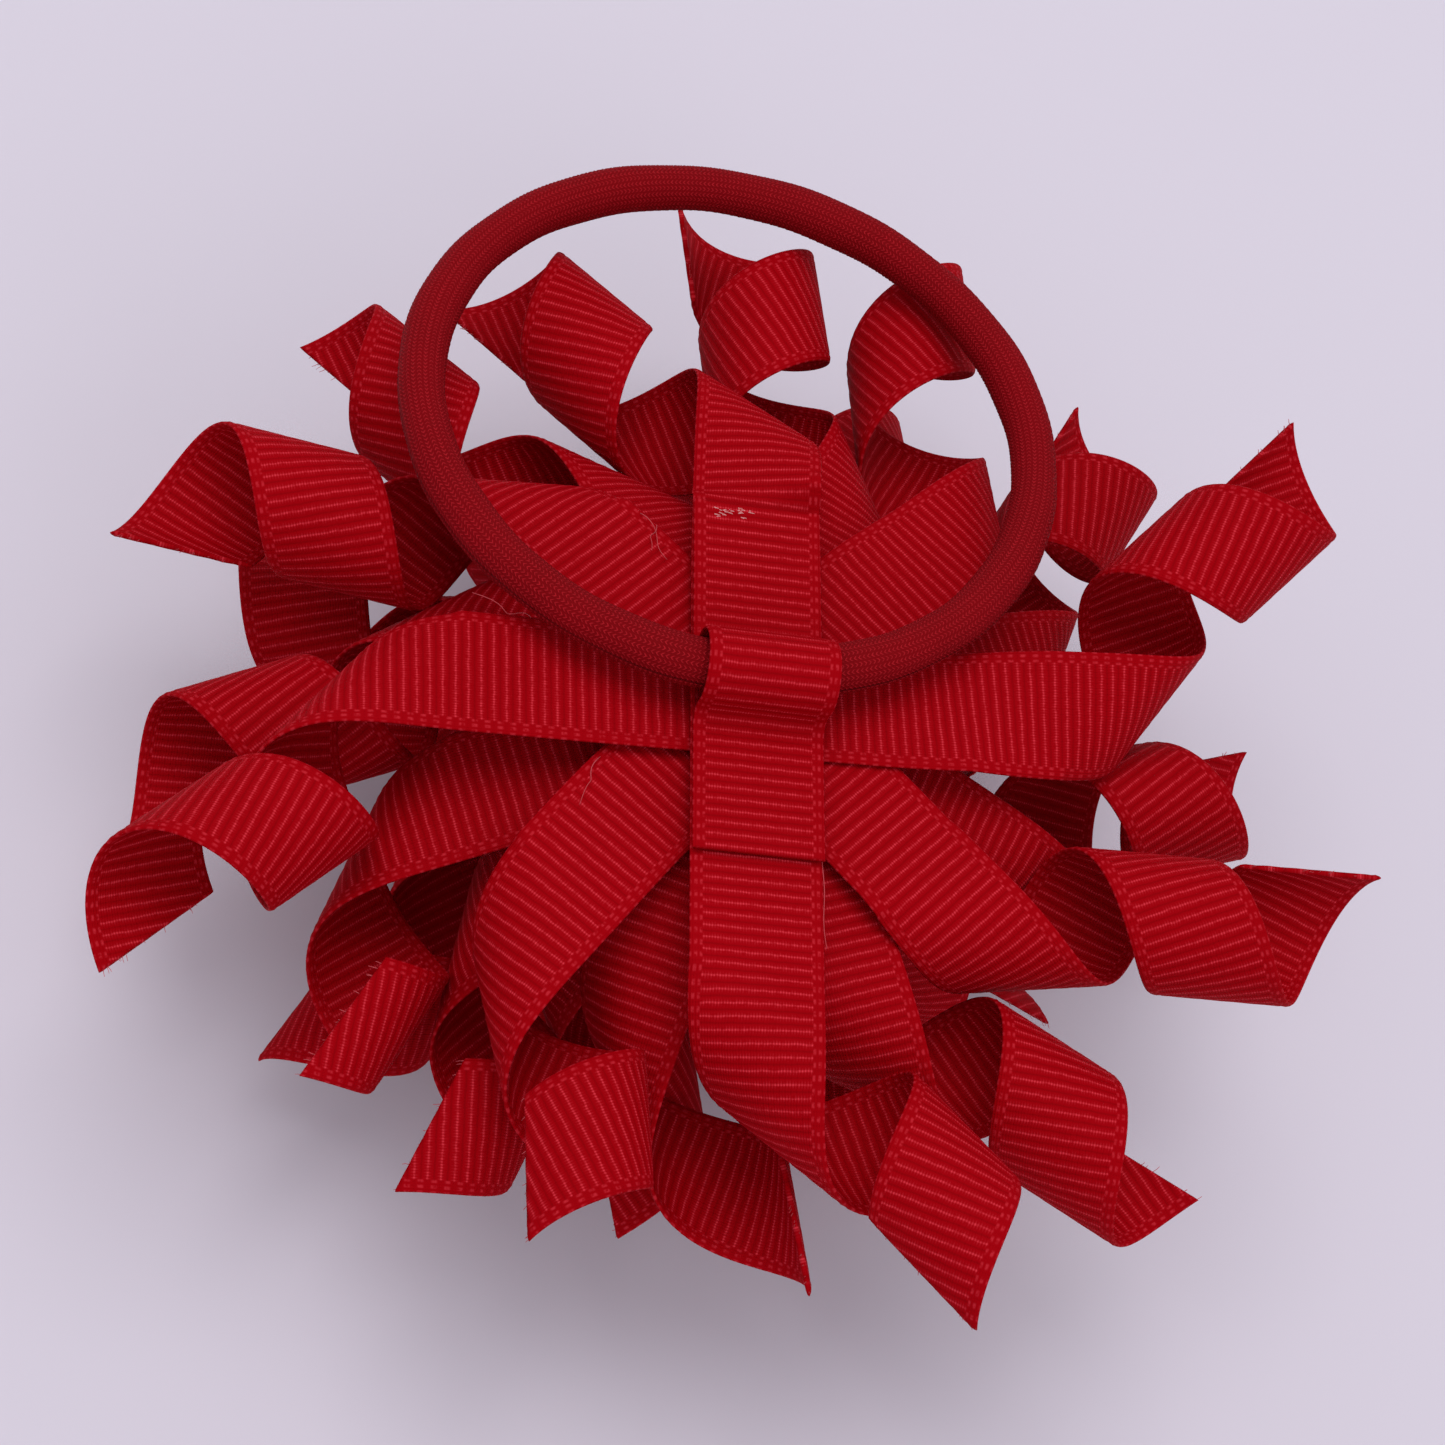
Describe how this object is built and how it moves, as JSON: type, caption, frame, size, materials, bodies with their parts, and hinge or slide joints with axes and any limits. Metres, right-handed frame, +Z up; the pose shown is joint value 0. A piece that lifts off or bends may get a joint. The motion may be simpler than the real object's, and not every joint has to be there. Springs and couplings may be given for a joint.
{
  "type": "curled ribbon bow on an elastic tie",
  "caption": "Bow of corkscrew-curled grosgrain ribbons with a glued back strap that holds a round elastic tie, for trimming a ponytail, a gift or a bag.",
  "frame": {"origin": "middle of the underside of the bow's box, where the curls of its face rest", "axes": "+Z up, out of the bow's back; +Y towards the far side, where the tie lies at rest; +X to the right"},
  "size_m": [0.0974, 0.1014, 0.045],
  "materials": {
    "grosgrain": "ribbed satin",
    "braided_elastic": "matte braid",
    "rubber_core": "matte",
    "joint_sleeve": "matte",
    "glue": "cured hot-melt",
    "thread": "matte"
  },
  "bodies": {
    "bow": {"ribbon_01_upright": "grosgrain", "ribbon_02_level": "grosgrain", "ribbon_03_falling": "grosgrain", "ribbon_04_rising": "grosgrain", "ribbon_05_steep_left": "grosgrain", "ribbon_06_steep_right": "grosgrain", "ribbon_07_low_left": "grosgrain", "ribbon_08_low_right": "grosgrain", "ribbon_09_lower_rising": "grosgrain", "ribbon_10_face_upright": "grosgrain", "ribbon_11_face_rising": "grosgrain", "ribbon_12_face_level": "grosgrain", "ribbon_13_face_falling": "grosgrain", "ribbon_14_crown_level": "grosgrain", "ribbon_15_crown_upright": "grosgrain", "tie_strap": "grosgrain", "far_glue_pad": "glue", "near_glue_pad": "glue", "stack_stitch": "thread"},
    "tie": {"elastic_cover": "braided_elastic", "elastic_core": "rubber_core", "elastic_joint_sleeve": "joint_sleeve"}
  },
  "joints": [
    {"name": "tie_swing", "type": "hinge", "parent": "bow", "child": "tie", "pos_m": [-0.00072, -0.00309, 0.04146], "axis": [0.9976, 0.0698, 0], "range_deg": [0, 150]}
  ]
}
